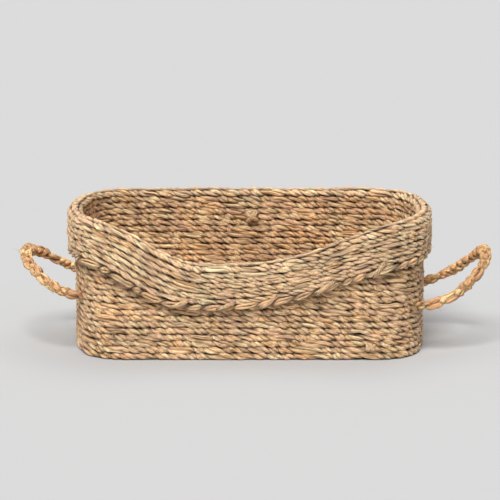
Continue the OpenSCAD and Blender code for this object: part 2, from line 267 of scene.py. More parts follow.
def make_strand_tree():
    """Strands that wind or plait along a path, whose points carry its out and across directions."""
    tree = bpy.data.node_groups.new("strands_along_path", "GeometryNodeTree")
    inputs = (
        ("Path", "NodeSocketGeometry"), ("Strands", "NodeSocketInt"), ("Blades", "NodeSocketInt"),
        ("Blade lag", "NodeSocketFloat"), ("Blade gap", "NodeSocketFloat"), ("Half turns", "NodeSocketInt"),
        ("Points", "NodeSocketInt"), ("Start", "NodeSocketFloat"), ("Throw out", "NodeSocketFloat"),
        ("Throw across", "NodeSocketFloat"), ("Out beat", "NodeSocketFloat"),
        ("Out start", "NodeSocketFloat"),
        ("Width", "NodeSocketFloat"), ("Thickness", "NodeSocketFloat"), ("Waist", "NodeSocketFloat"),
        ("Uneven", "NodeSocketFloat"), ("Dwell", "NodeSocketFloat"), ("Crease", "NodeSocketFloat"),
        ("Bare edge", "NodeSocketFloat"), ("Closed", "NodeSocketFloat"), ("Taper", "NodeSocketFloat"),
        ("Seed", "NodeSocketInt"), ("Material", "NodeSocketMaterial"),
    )
    for name, kind in inputs:
        tree.interface.new_socket(name, in_out="INPUT", socket_type=kind)
    tree.interface.new_socket("Strands", in_out="OUTPUT", socket_type="NodeSocketGeometry")
    given = add(tree, "NodeGroupInput").outputs

    def maths(operation, *values):
        return add(tree, "ShaderNodeMath", dict(enumerate(values)), operation=operation)

    def vector(operation, *values):
        return add(tree, "ShaderNodeVectorMath", dict(enumerate(values)), operation=operation)

    def scaled(direction, amount):
        return add(tree, "ShaderNodeVectorMath", {0: direction, "Scale": amount}, operation="SCALE")

    def keep(geometry, name, value, kind="FLOAT"):
        return add(tree, "GeometryNodeStoreNamedAttribute", {0: geometry, "Name": name, "Value": value},
                   data_type=kind, domain="POINT")

    def kept(name, kind="FLOAT"):
        return add(tree, "GeometryNodeInputNamedAttribute", {"Name": name}, data_type=kind)

    # The path, resampled, with the winding angle along it; hands stretch and squeeze the picks a little
    place = add(tree, "GeometryNodeInputPosition")
    spline = add(tree, "GeometryNodeSplineParameter")
    path = add(tree, "GeometryNodeMeshToCurve", {0: given["Path"]})
    path = add(tree, "GeometryNodeResampleCurve", {0: path, "Count": given["Points"]}, mode="COUNT")
    drift = add(tree, "ShaderNodeTexNoise",
                {"Vector": place, "W": given["Seed"], "Scale": DRIFT_SCALE, "Detail": 1.0},
                noise_dimensions="4D")
    drift = maths("MULTIPLY", maths("SUBTRACT", drift, 0.5), given["Uneven"])
    turn = maths("MULTIPLY", maths("MULTIPLY", spline.outputs["Factor"], given["Half turns"]), math.pi)
    turn = maths("ADD", turn, maths("MULTIPLY_ADD", drift, DRIFT_TURN, given["Start"]))
    path = keep(path, "turn", turn)
    # Every row wanders a little, and its neighbours half follow it
    follow = maths("MULTIPLY", given["Seed"], FOLLOW_SHARE)
    wander = add(tree, "ShaderNodeTexNoise",
                 {"Vector": place, "W": follow, "Scale": WANDER_SCALE, "Detail": 1.0}, noise_dimensions="4D")
    wander = scaled(vector("SUBTRACT", wander.outputs["Color"], NOISE_MIDDLE), WANDER)
    path = add(tree, "GeometryNodeSetPosition", {0: path, "Offset": wander})
    path = keep(path, "middle", place, "FLOAT_VECTOR")

    # One copy for each blade of each strand, wound round the path; a strand's blades follow one another
    amount = maths("MULTIPLY", given["Strands"], given["Blades"])
    copies = add(tree, "GeometryNodeDuplicateElements", {0: path, "Amount": amount}, domain="SPLINE")
    which = copies.outputs["Duplicate Index"]
    strand = maths("FLOOR", maths("ADD", maths("DIVIDE", which, given["Blades"]), WHOLE_SLACK))
    blade = maths("SUBTRACT", which, maths("MULTIPLY", strand, given["Blades"]))
    share = maths("MULTIPLY", maths("DIVIDE", strand, given["Strands"]), 2 * math.pi)
    share = maths("MULTIPLY_ADD", blade, given["Blade lag"], share)
    angle = maths("MULTIPLY_ADD", kept("turn"), -1.0, share)
    pick = maths("FLOOR", maths("ADD", maths("DIVIDE", angle, math.pi), 0.5))
    pick = maths("FLOORED_MODULO", pick, given["Half turns"])
    pick = maths("MULTIPLY_ADD", pick, amount, which)
    tone = add(tree, "FunctionNodeRandomValue", {"ID": pick, "Seed": given["Seed"]}, data_type="FLOAT")
    strands = keep(copies, "angle", angle)
    apart = maths("MULTIPLY", maths("MULTIPLY_ADD", maths("SUBTRACT", given["Blades"], 1.0), -0.5, blade),
                  given["Blade gap"])
    strands = keep(strands, "apart", apart)
    strands = keep(strands, "tone", tone.outputs[1])
    strands = keep(strands, "along", maths("FRACT", maths("ADD", maths("DIVIDE", angle, math.pi), 0.5)))
    angle = kept("angle")
    # A pick lies flat on its face of the wall and swings across only where it dives between its neighbours
    across_beat = maths("SINE", angle)
    dwell = maths("POWER", maths("ABSOLUTE", across_beat), given["Dwell"])
    across_beat = maths("MULTIPLY", across_beat, dwell)
    out_beat = maths("SINE", maths("MULTIPLY_ADD", angle, given["Out beat"], given["Out start"]))
    dwell = maths("POWER", maths("ABSOLUTE", out_beat), OUT_POWER)
    out_beat = maths("MULTIPLY", maths("SIGN", out_beat), dwell)
    # No two picks are alike: each lies a little off its line and is a little thicker or thinner
    own = maths("MULTIPLY_ADD", which, OWN_STEP, maths("MULTIPLY", given["Seed"], OWN_SEED_STEP))
    strands = keep(strands, "own", own)
    uneven = add(tree, "ShaderNodeTexNoise",
                 {"Vector": place, "W": kept("own"), "Scale": UNEVEN_SCALE, "Detail": 1.0},
                 noise_dimensions="4D")
    uneven = scaled(vector("SUBTRACT", uneven.outputs["Color"], NOISE_MIDDLE), given["Uneven"])
    uneven = add(tree, "ShaderNodeSeparateXYZ", {0: uneven})
    girth = kept("girth")
    out_throw = maths("MULTIPLY", maths("MULTIPLY", out_beat, given["Throw out"]), girth)
    out_throw = maths("MULTIPLY_ADD", maths("SINE", angle), maths("MULTIPLY", kept("apart"), -0.5), out_throw)
    out_throw = maths("MULTIPLY_ADD", uneven.outputs[0], given["Thickness"], out_throw)
    across_throw = maths("MULTIPLY", maths("MULTIPLY", across_beat, given["Throw across"]), girth)
    across_throw = maths("MULTIPLY_ADD", maths("COSINE", angle), kept("apart"), across_throw)
    across_throw = maths("MULTIPLY_ADD", uneven.outputs[1], given["Width"], across_throw)
    size = maths("MULTIPLY_ADD", uneven.outputs[2], UNEVEN_SIZE, 1.0)
    rising = add(tree, "ShaderNodeMapRange", {0: spline.outputs["Factor"], 1: 0.0, 2: given["Taper"]})
    fading = add(tree, "ShaderNodeMapRange",
                 {0: maths("SUBTRACT", 1.0, spline.outputs["Factor"]), 1: 0.0, 2: given["Taper"]})
    ends = maths("POWER", maths("MINIMUM", rising, fading), END_POWER)
    ends = maths("MAXIMUM", maths("MAXIMUM", ends, LEAST_END), given["Closed"])
    size = maths("MULTIPLY", maths("MULTIPLY", size, ends), girth)
    waist = maths("MULTIPLY", maths("MULTIPLY", across_beat, across_beat), given["Waist"])
    wide = maths("MULTIPLY", size, maths("SUBTRACT", 1.0, waist))
    strands = keep(strands, "thick", maths("MULTIPLY", maths("MULTIPLY", size, given["Thickness"]), 0.5))
    strands = keep(strands, "wide", maths("MULTIPLY", maths("MULTIPLY", wide, given["Width"]), 0.5))
    out, across = kept("out", "FLOAT_VECTOR"), kept("across", "FLOAT_VECTOR")
    move = vector("ADD", scaled(out, out_throw), scaled(across, across_throw))
    strands = add(tree, "GeometryNodeSetPosition", {0: strands, "Offset": move})
    strands = keep(strands, "centre", place, "FLOAT_VECTOR")
    tangent = add(tree, "GeometryNodeInputTangent")
    lean = add(tree, "ShaderNodeVectorMath", {0: out, 1: tangent}, operation="DOT_PRODUCT")
    lean = scaled(tangent, lean.outputs["Value"])
    strands = keep(strands, "front", vector("NORMALIZE", vector("SUBTRACT", out, lean)), "FLOAT_VECTOR")
    side = vector("CROSS_PRODUCT", tangent, kept("front", "FLOAT_VECTOR"))
    strands = keep(strands, "side", side, "FLOAT_VECTOR")

    # A section with flat faces and rounded edges, swept along each strand, creased between its blades
    circle = add(tree, "GeometryNodeCurvePrimitiveCircle", {"Resolution": SECTION_POINTS, "Radius": 1.0},
                 mode="RADIUS")
    circle = keep(circle, "round", place, "FLOAT_VECTOR")
    mesh = add(tree, "GeometryNodeCurveToMesh", {0: strands, "Profile Curve": circle, "Fill Caps": True})
    apart = add(tree, "ShaderNodeSeparateXYZ", {0: kept("round", "FLOAT_VECTOR")})
    flat = [maths("MULTIPLY", maths("POWER", maths("ABSOLUTE", value), EDGE_POWER), maths("SIGN", value))
            for value in apart.outputs[:2]]
    theta = maths("ARCTAN2", apart.outputs[1], apart.outputs[0])
    creases = []
    for waves, shift, way in CREASES:
        phase = maths("MULTIPLY_ADD", kept("tone"), shift, maths("MULTIPLY", kept("turn"), way))
        creases.append(maths("COSINE", maths("MULTIPLY_ADD", theta, waves, phase)))
    lobe = maths("ADD", 1.0, maths("MULTIPLY", maths("ADD", *creases), given["Crease"]))
    front_reach = maths("MULTIPLY", maths("MULTIPLY", flat[0], kept("thick")), lobe)
    side_reach = maths("MULTIPLY", maths("MULTIPLY", flat[1], kept("wide")), lobe)
    spot = vector("ADD", scaled(kept("front", "FLOAT_VECTOR"), front_reach),
                  scaled(kept("side", "FLOAT_VECTOR"), side_reach))
    spot = vector("ADD", kept("centre", "FLOAT_VECTOR"), spot)
    # The underside is pressed flat where it rests on a table
    spot = add(tree, "ShaderNodeSeparateXYZ", {0: spot})
    spot = add(tree, "ShaderNodeCombineXYZ",
               {0: spot.outputs[0], 1: spot.outputs[1], 2: maths("MAXIMUM", spot.outputs[2], LOWEST)})
    mesh = add(tree, "GeometryNodeSetPosition", {0: mesh, "Position": spot})
    # How far a place stands proud of the row's middle, from 0 to 1; low values get painted crevice shade
    away = vector("SUBTRACT", place, kept("middle", "FLOAT_VECTOR"))
    away_out = add(tree, "ShaderNodeVectorMath", {0: away, 1: out}, operation="DOT_PRODUCT").outputs["Value"]
    away_across = add(tree, "ShaderNodeVectorMath", {0: away, 1: across}, operation="DOT_PRODUCT")
    away_across = maths("MULTIPLY", away_across.outputs["Value"], given["Bare edge"])
    away = maths("MULTIPLY", away_across, away_across)
    away = maths("SQRT", maths("MULTIPLY_ADD", away_out, away_out, away))
    full = maths("MULTIPLY_ADD", given["Thickness"], 0.5, given["Throw out"])
    mesh = keep(mesh, "proud", maths("DIVIDE", away, full))
    mesh = add(tree, "GeometryNodeSetShadeSmooth", {0: mesh})
    mesh = add(tree, "GeometryNodeRealizeInstances", {0: mesh})
    mesh = add(tree, "GeometryNodeSetMaterial", {0: mesh, "Material": given["Material"]})
    add(tree, "NodeGroupOutput", {0: mesh})
    return tree


PROUD_LEAST = 0.8
FIBRE_LEAN = (0.0, -0.6, -math.pi), (0.0, -0.05, math.pi)
FIBRE_SIZES, FIBRE_TONES = (0.35, 1.3), (0.2, 1.0)
FIBRE_POINTS, FIBRE_SIDES = 6, 3
CURL_SCALE, TIP_THINNING = 140.0, -0.7


def make_fibre_tree():
    """Loose fibres that stand off the proud parts of a woven surface."""
    tree = bpy.data.node_groups.new("loose_fibres", "GeometryNodeTree")
    inputs = (
        ("Surface", "NodeSocketGeometry"), ("Density", "NodeSocketFloat"), ("Length", "NodeSocketFloat"),
        ("Thickness", "NodeSocketFloat"), ("Seed", "NodeSocketInt"), ("Material", "NodeSocketMaterial"),
    )
    for name, kind in inputs:
        tree.interface.new_socket(name, in_out="INPUT", socket_type=kind)
    tree.interface.new_socket("Fibres", in_out="OUTPUT", socket_type="NodeSocketGeometry")
    given = add(tree, "NodeGroupInput").outputs
    proud = add(tree, "GeometryNodeInputNamedAttribute", {"Name": "proud"}, data_type="FLOAT")
    outer = add(tree, "ShaderNodeMath", {0: proud, 1: PROUD_LEAST}, operation="GREATER_THAN")
    spots = add(tree, "GeometryNodeDistributePointsOnFaces", {
        "Mesh": given["Surface"], "Selection": outer, "Density": given["Density"], "Seed": given["Seed"]},
        distribute_method="RANDOM")
    lean = add(tree, "FunctionNodeRandomValue",
               {0: FIBRE_LEAN[0], 1: FIBRE_LEAN[1], "Seed": given["Seed"]}, data_type="FLOAT_VECTOR")
    turned = add(tree, "FunctionNodeRotateRotation", {0: spots.outputs["Rotation"], 1: lean.outputs[0]},
                 rotation_space="LOCAL")
    end = add(tree, "ShaderNodeCombineXYZ", {0: given["Length"]})
    line = add(tree, "GeometryNodeCurvePrimitiveLine", {"Start": (0.0, 0.0, 0.0), "End": end})
    line = add(tree, "GeometryNodeResampleCurve", {0: line, "Count": FIBRE_POINTS}, mode="COUNT")
    size = add(tree, "FunctionNodeRandomValue",
               {2: FIBRE_SIZES[0], 3: FIBRE_SIZES[1], "Seed": given["Seed"]}, data_type="FLOAT")
    fibres = add(tree, "GeometryNodeInstanceOnPoints", {
        "Points": spots.outputs["Points"], "Instance": line, "Rotation": turned, "Scale": size.outputs[1]})
    fibres = add(tree, "GeometryNodeRealizeInstances", {0: fibres})
    tone = add(tree, "FunctionNodeRandomValue",
               {2: FIBRE_TONES[0], 3: FIBRE_TONES[1], "Seed": given["Seed"]}, data_type="FLOAT")
    fibres = add(tree, "GeometryNodeStoreNamedAttribute",
                 {0: fibres, "Name": "tone", "Value": tone.outputs[1]}, data_type="FLOAT", domain="CURVE")
    # They curl more towards their free ends
    place = add(tree, "GeometryNodeInputPosition")
    share = add(tree, "GeometryNodeSplineParameter").outputs["Factor"]
    curl = add(tree, "ShaderNodeTexNoise", {"Vector": place, "Scale": CURL_SCALE, "Detail": 0.0})
    curl = add(tree, "ShaderNodeVectorMath", {0: curl.outputs["Color"], 1: NOISE_MIDDLE},
               operation="SUBTRACT")
    amount = add(tree, "ShaderNodeMath", {0: share, 1: given["Length"]}, operation="MULTIPLY")
    curl = add(tree, "ShaderNodeVectorMath", {0: curl, "Scale": amount}, operation="SCALE")
    fibres = add(tree, "GeometryNodeSetPosition", {0: fibres, "Offset": curl})
    spot = add(tree, "ShaderNodeSeparateXYZ", {0: place})
    level = add(tree, "ShaderNodeMath", {0: spot.outputs[2], 1: 2 * LOWEST}, operation="MAXIMUM")
    spot = add(tree, "ShaderNodeCombineXYZ", {0: spot.outputs[0], 1: spot.outputs[1], 2: level})
    fibres = add(tree, "GeometryNodeSetPosition", {0: fibres, "Position": spot})
    radius = add(tree, "ShaderNodeMath", {0: given["Thickness"], 1: 0.5}, operation="MULTIPLY")
    circle = add(tree, "GeometryNodeCurvePrimitiveCircle", {"Resolution": FIBRE_SIDES, "Radius": radius},
                 mode="RADIUS")
    thin = add(tree, "ShaderNodeMath", {0: share, 1: TIP_THINNING, 2: 1.0}, operation="MULTIPLY_ADD")
    mesh = add(tree, "GeometryNodeCurveToMesh", {0: fibres, "Profile Curve": circle, "Scale": thin,
                                                 "Fill Caps": True})
    mesh = add(tree, "GeometryNodeStoreNamedAttribute", {0: mesh, "Name": "proud", "Value": 1.0},
               data_type="FLOAT", domain="POINT")
    mesh = add(tree, "GeometryNodeRealizeInstances", {0: mesh})
    mesh = add(tree, "GeometryNodeSetMaterial", {0: mesh, "Material": given["Material"]})
    add(tree, "NodeGroupOutput", {0: mesh})
    return tree


SECTION_POINTS = 10
WANDER = 3.4 * MM
LOWEST = 0.1 * MM  # no strand goes below this height, so that nothing is under the table
STRANDS = make_strand_tree()
FIBRES = make_fibre_tree()
WORKING_NAMES = ("turn", "angle", "apart", "own", "girth", "out", "across", "middle", "thick", "wide",
                 "centre", "front", "side")


def grown(name, tree, mesh, settings):
    """Runs a Geometry Nodes tree on a mesh and returns the result as a plain mesh."""
    start = bpy.data.objects.new(name + "_path", mesh)
    bpy.context.collection.objects.link(start)
    modifier = start.modifiers.new("nodes", "NODES")
    modifier.node_group = tree
    sockets = {s.name: s.identifier for s in tree.interface.items_tree if s.in_out == "INPUT"}
    for key, value in settings.items():
        modifier[sockets[key]] = value
    shaped = start.evaluated_get(bpy.context.evaluated_depsgraph_get())
    result = bpy.data.meshes.new_from_object(shaped)
    result.name = name
    start.modifiers.remove(modifier)
    bpy.data.objects.remove(start)
    for extra in WORKING_NAMES:
        if extra in result.attributes:
            result.attributes.remove(result.attributes[extra])
    return result


def path_mesh(paths, closed=False):
    """Paths as edges. A path is a list of (place, out, across, girth) in millimetres."""
    mesh = bpy.data.meshes.new("path")
    edges, first = [], 0
    for path in paths:
        last = first + len(path) - 1
        edges += [(i, i + 1) for i in range(first, last)] + ([(last, first)] if closed else [])
        first = last + 1
    points = [point for path in paths for point in path]
    mesh.from_pydata([tuple(point[0] * MM) for point in points], edges, [])
    for name, index in (("out", 1), ("across", 2)):
        attribute = mesh.attributes.new(name, "FLOAT_VECTOR", "POINT")
        values = np.array([point[index] for point in points], np.float32)
        attribute.data.foreach_set("vector", values.ravel())
    attribute = mesh.attributes.new("girth", "FLOAT", "POINT")
    attribute.data.foreach_set("value", [float(point[3]) for point in points])
    return mesh


def joined(name, meshes):
    """One object made of several meshes."""
    parts = []
    for mesh in meshes:
        part = bpy.data.objects.new(name, mesh)
        bpy.context.collection.objects.link(part)
        parts.append(part)
    if len(parts) > 1:
        with bpy.context.temp_override(active_object=parts[0], selected_editable_objects=parts):
            bpy.ops.object.join()
    parts[0].name = name
    parts[0].data.name = name
    return parts[0]


UP = np.array((0.0, 0.0, 1.0))
PATH_STEP = 4.0
SAMPLES = 8
RING_POINTS = 240
TURNS_ROUND = 60  # half turns that a row's two strands make once round the basket
START_STEP, START_DRIFT = 0.5, 0.137
FIBRES_PER_AREA, FIBRE_LENGTH, FIBRE_WIDTH = 1500.0, 5.5 * MM, 0.36 * MM
# Each kind of row draws its random numbers from its own seed
PACKED_SEED, FOLD_SEED, CUFF_SEED, BORDER_SEED, BASE_SEED, STAKE_SEED = 40, 60, 70, 80, 100, 200
PLAIT_SEED, KNOT_SEED, PLAIT_FIBRE_SEED, TUCK_SEED, STUB_SEED, SPLICE_SEED = 300, 310, 320, 400, 420, 433


def flat3(xy, z):
    return np.array((xy[0], xy[1], z))


def even(number):
    return 2 * max(1, round(number / 2))


def row_start(k):
    """Where a row's twist starts: no row lines up with its neighbours."""
    return math.pi * ((k * START_STEP + k * k * START_DRIFT) % 1.0)


def twine(half_turns, closed, seed, material, **changes):
    """Settings of a row of twining: two strands that swap faces between one stake and the next."""
    settings = {
        "Strands": 2, "Blades": 2, "Blade lag": 0.5, "Blade gap": 2.8 * MM,
        "Half turns": half_turns, "Points": half_turns * SAMPLES + (0 if closed else 1),
        "Start": 0.0, "Throw out": 2.3 * MM, "Throw across": 1.8 * MM, "Out beat": 1.0,
        "Out start": math.pi / 2, "Width": 4.1 * MM, "Thickness": 3.2 * MM, "Waist": 0.22, "Uneven": 0.6,
        "Dwell": 0.3, "Crease": 0.12, "Bare edge": 0.0, "Closed": 1.0 if closed else 0.0, "Taper": 0.03,
        "Seed": seed, "Material": material,
    }
    settings.update({key.replace("_", " "): value for key, value in changes.items()})
    return settings


def ring_path(place, out, across):
    """A closed path once round the basket, from functions of the distance round it."""
    spots = [AROUND * i / RING_POINTS for i in range(RING_POINTS)]
    return path_mesh([[(place(s), out(s), across(s), 1.0) for s in spots]], True)


def with_fibres(meshes, seed, density=FIBRES_PER_AREA):
    """The meshes, and the loose fibres that stand off them."""
    loose = []
    for i, mesh in enumerate(meshes):
        settings = {"Density": density, "Length": FIBRE_LENGTH, "Thickness": FIBRE_WIDTH, "Seed": seed + i,
                    "Material": mesh.materials[0]}
        loose.append(grown(mesh.name + "_fibres", FIBRES, mesh.copy(), settings))
    return meshes + [mesh for mesh in loose if len(mesh.vertices)]


def piece(name, body, nodes, meshes):
    """A named piece that rides on a body and stands for CAD nodes, with loose fibres of its own seed."""
    made = joined(name, with_fibres(meshes, len(bpy.data.objects)))
    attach(made, body)
    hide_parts(*nodes)
    return made


def out3(s):
    return flat3(outward(s), 0.0)


# ---- Wall ----
for k in range(1, FULL_COURSES + 1):
    z = (k - 0.5) * COURSE_H
    path = ring_path(lambda s: flat3(wall_point(s, 0.0), z), out3, lambda s: UP)
    settings = twine(TURNS_ROUND, True, k, WALL_GRASS, Start=row_start(k))
    name = f"twined_row_{k:02d}"
    piece(name, "basket", [f"wall_course_{k:02d}"], [grown(name, STRANDS, path, settings)])

LEAST_RISE = 0.2  # a packed row starts where this share of a row's height has room under the rim
for k in range(1, PACKED_COURSES + 1):
    z = (FULL_COURSES + k - 0.5) * COURSE_H
    low = z - COURSE_H * LEAST_RISE
    spots = [s for s in np.arange(-DIP_LEFT, AROUND - DIP_LEFT, PATH_STEP) if top_of(s) > low]
    path = path_mesh([[(flat3(wall_point(s, 0.0), min(z, top_of(s))), out3(s), UP, 1.0) for s in spots]])
    turns = even((spots[-1] - spots[0]) / AROUND * TURNS_ROUND)
    settings = twine(turns, False, PACKED_SEED + k, WALL_GRASS, Start=row_start(FULL_COURSES + k))
    name = f"packed_row_{k}"
    piece(name, "basket", [f"packed_course_{k}"], [grown(name, STRANDS, path, settings)])

# ---- Fold ----
FOLD_MID_R = FOLD_R / 2 + 0.3
FOLD_FIRST, FOLD_STEP = 150, 60  # degrees
for k, name in enumerate(("fold_inner", "fold_crest", "fold_outer")):
    a = math.radians(FOLD_FIRST - FOLD_STEP * k)
    reach, rise = FOLD_OFF + FOLD_MID_R * math.cos(a), FOLD_MID_R * math.sin(a)
    path = ring_path(
        lambda s: flat3(wall_point(s, reach), top_of(s) + rise),
        lambda s: flat3(outward(s) * -math.cos(a), -math.sin(a)),
        lambda s: flat3(outward(s) * math.sin(a), -math.cos(a)))
    settings = twine(TURNS_ROUND, True, FOLD_SEED + k, CUFF_GRASS, Start=row_start(k), Width=3.6 * MM,
                     Thickness=3.0 * MM)
    piece(name + "_row", "basket", [name], [grown(name, STRANDS, path, settings)])

# ---- Cuff and border ----
CUFF_START = 3  # sets the cuff's row starts apart from the fold's
BORDER_TURNS = even(STAKES * 0.9)
for k in range(1, CUFF_COURSES + 1):
    down = (k - 0.5) * CUFF_COURSE_H
    path = ring_path(
        lambda s: flat3(wall_point(s, CUFF_MID), top_of(s) - cuff_drop(s, down)),
        lambda s: -out3(s), lambda s: -UP)
    settings = twine(TURNS_ROUND, True, CUFF_SEED + k, CUFF_GRASS, Start=row_start(k + CUFF_START),
                     Width=3.3 * MM, Throw_across=1.4 * MM, Throw_out=1.8 * MM, Blade_gap=2.3 * MM)
    mesh = grown("cuff", STRANDS, path, settings)
    piece(f"cuff_row_{k}", "basket", [f"cuff_course_{k}"], [mesh])

path = ring_path(
    lambda s: flat3(wall_point(s, CUFF_MID), top_of(s) - cuff_drop(s, BORDER_DROP)),
    lambda s: -out3(s), lambda s: -UP)
settings = twine(BORDER_TURNS, True, BORDER_SEED, WALL_GRASS, Out_start=-math.pi / 2, Throw_across=1.6 * MM,
                 Throw_out=1.7 * MM, Width=2.8 * MM, Thickness=3.2 * MM, Waist=0.1, Dwell=0.0, Bare_edge=0.8,
                 Blade_gap=-2.2 * MM, Blade_lag=-0.7)
piece("border_rope_twist", "basket", ["border_rope"], [grown("border", STRANDS, path, settings)])

# ---- Loose ends: bundles tucked across the border, and ends of spliced blades ----
BUNDLE_HALF_TURNS, BUNDLE_POINTS = 2, 24
TUCK_POINTS, TUCK_STAND, TUCK_DIVE, TUCK_ABOVE = 7, 1.2, 8.0, 2.0


def bundle(name, paths, seed, material, **changes):
    """Short bundles of a few blades that taper at both ends, along paths of (x, y, z) points."""
    made = []
    for points in paths:
        points = [np.array(point) for point in points]
        across = np.cross(points[-1] - points[0], (0.0, -1.0, 0.0))
        across = across / np.linalg.norm(across)
        made.append([(point, np.array((0.0, -1.0, 0.0)), across, 1.0) for point in points])
    settings = twine(BUNDLE_HALF_TURNS, False, seed, material, Points=BUNDLE_POINTS, Throw_out=0.6 * MM,
                     Throw_across=1.0 * MM, Taper=0.25, Width=2.4 * MM, Thickness=1.8 * MM, Waist=0.0,
                     Blade_gap=1.4 * MM, Bare_edge=1.0)
    settings.update({key.replace("_", " "): value for key, value in changes.items()})
    return grown(name, STRANDS, path_mesh(made), settings)


def on_cuff(s, down, lift):
    """A spot lifted off the cuff's face, s round the basket and a distance down the cuff."""
    spot = wall_point(s, CUFF_OUT + lift)
    return flat3(spot, top_of(s) - cuff_drop(s, down))


def bundle_across(s, down, long, fall):
    """A tucked bundle: its ends dive into the cuff and its middle stands off it."""
    shares = np.linspace(-0.5, 0.5, TUCK_POINTS)
    return [on_cuff(s + long * t, down - fall * t, TUCK_STAND - TUCK_DIVE * t * t) for t in shares]


# Distance round the basket, length along it and rise over that length
TUCKS = ((18.0, 17.0, 13.0), (124.0, 13.0, 15.0), (-66.0, 20.0, 9.0), (-23.0, 19.0, 6.0),
         (72.0, 20.0, 8.0), (AROUND / 2 - 60.0, 18.0, 12.0), (AROUND / 2 + 45.0, 18.0, 10.0))
tucks = [bundle_across(s, BORDER_DROP - TUCK_ABOVE, long, fall) for s, long, fall in TUCKS]
tucked = bundle("tucked", tucks, TUCK_SEED, WALL_GRASS, Width=2.0 * MM, Blade_gap=1.2 * MM)
piece("tucked_ends", "basket", [], [tucked])
INNER_FACE = wall_point(AROUND / 2, -WALL_OUT)[1]
# Two ends that cross inside the middle of the back wall
SPLICES = [
    [(-5.0, INNER_FACE, 113.0), (-1.0, INNER_FACE - 2.6, 110.5), (4.0, INNER_FACE - 3.0, 107.5),
     (9.0, INNER_FACE - 1.6, 105.0)],
    [(9.0, INNER_FACE, 115.0), (5.0, INNER_FACE - 2.4, 111.5), (1.5, INNER_FACE - 3.2, 108.0),
     (-3.0, INNER_FACE - 2.0, 103.0)],
]
spliced = bundle("spliced", SPLICES, SPLICE_SEED, CUFF_GRASS, Bare_edge=2.0)
piece("spliced_ends_inside", "basket", [], [spliced])
# Two short ends low on the front
STUB_FACE = wall_point(118.0, WALL_OUT)[1]
STUBS = [[(x, STUB_FACE + 1.0, 15.5), (x + 0.5, STUB_FACE - 1.4, 13.0), (x + 0.3, STUB_FACE - 1.6, 10.0),
          (x - 0.4, STUB_FACE + 0.4, 7.5)] for x in (114.0, 118.0)]
piece("spliced_ends_front", "basket", [], [bundle("stubs", STUBS, STUB_SEED, CUFF_GRASS)])

# ---- Base ----
BASE_ROWS = BASE_RINGS * ROWS_PER_RING
BASE_LINE_HALF = HALF_L - HALF_D


def base_point(s, share):
    """A point in the base, a share of the way from its centre line to the wall."""
    p = wall_point(s, -1.0)
    centre = np.array((max(-BASE_LINE_HALF, min(BASE_LINE_HALF, p[0])), 0.0))
    return centre + (p - centre) * share


for ring in range(1, BASE_RINGS + 1):
    meshes = []
    for row in range((ring - 1) * ROWS_PER_RING, ring * ROWS_PER_RING):
        share = 1 - (row + 0.5) / BASE_ROWS
        points = [base_point(AROUND * i / RING_POINTS, share) for i in range(RING_POINTS)]
        length = sum(np.linalg.norm(points[i] - points[i - 1]) for i in range(RING_POINTS))
        path = ring_path(lambda s: flat3(base_point(s, share), BASE_T / 2), lambda s: -UP, out3)
        turns = even(length / AROUND * TURNS_ROUND)
        settings = twine(turns, True, BASE_SEED + row, BASE_GRASS, Start=row_start(row), Width=3.6 * MM,
                         Thickness=2.6 * MM, Throw_out=2.0 * MM)
        meshes.append(grown(f"base_row_{row}", STRANDS, path, settings))
    piece(f"base_rows_{ring}", "basket", [f"base_ring_{ring}"], meshes)

# ---- Stakes ----
STAKE_W, STAKE_T = 5.0, 2.0
# Where stakes start in the base, as a share of the way to the wall, along the sides and at the ends
LONG_START, END_START = 0.08, 0.5
BASE_END, BASE_STEPS = 0.94, 12
STAKE_HALF_TURNS, STAKE_POINTS = 20, 60


def stake_path(s):
    """A stake lies in the base, stands in the wall, bends over the fold and hangs in the cuff."""
    out = out3(s)
    start = base_point(s, LONG_START if abs(wall_point(s, 0)[1]) > CORNER_Y else END_START)
    end = wall_point(s, 0.0)
    path = []
    for t in np.linspace(0.0, BASE_END, BASE_STEPS):
        path.append((flat3(start * (1 - t) + end * t, BASE_T / 2), -UP))
    for z in np.arange(BASE_T, top_of(s), PATH_STEP):
        path.append((flat3(end, z), out))
    for a in np.radians(np.arange(180, -1, -20)):
        reach, rise = FOLD_OFF + FOLD_MID_R * math.cos(a), FOLD_MID_R * math.sin(a)
        place = flat3(wall_point(s, reach), top_of(s) + rise)
        path.append((place, out * -math.cos(a) - UP * math.sin(a)))
    for down in np.arange(0.0, BORDER_DROP, PATH_STEP):
        path.append((flat3(wall_point(s, CUFF_MID), top_of(s) - cuff_drop(s, down)), -out))
    away = outward(s)
    across = np.array((-away[1], away[0], 0.0))
    return [(place, facing, across, 1.0) for place, facing in path]


SIDES = (("front_stakes", 0), ("right_stakes", 1), ("back_stakes", 2), ("left_stakes", 3))
END_HALF = round((CORNER_LEN / 2 + END_R * END_ANGLE) / PITCH)
for name, side in SIDES:
    half = END_HALF if side % 2 else STAKES // 4 - END_HALF
    middle = side * STAKES // 4
    paths = [stake_path((i + 0.5) * PITCH) for i in range(middle - half, middle + half)]
    settings = twine(STAKE_HALF_TURNS, False, STAKE_SEED + side, STAKE_GRASS, Strands=1, Blades=1,
                     Points=STAKE_POINTS, Throw_out=0.0, Throw_across=0.0, Width=STAKE_W * MM,
                     Thickness=STAKE_T * MM, Waist=0.0, Uneven=0.06)
    mesh = grown(name, STRANDS, path_mesh(paths), settings)
    piece(name[:-1] + "_bundles", "basket", [name], [mesh])

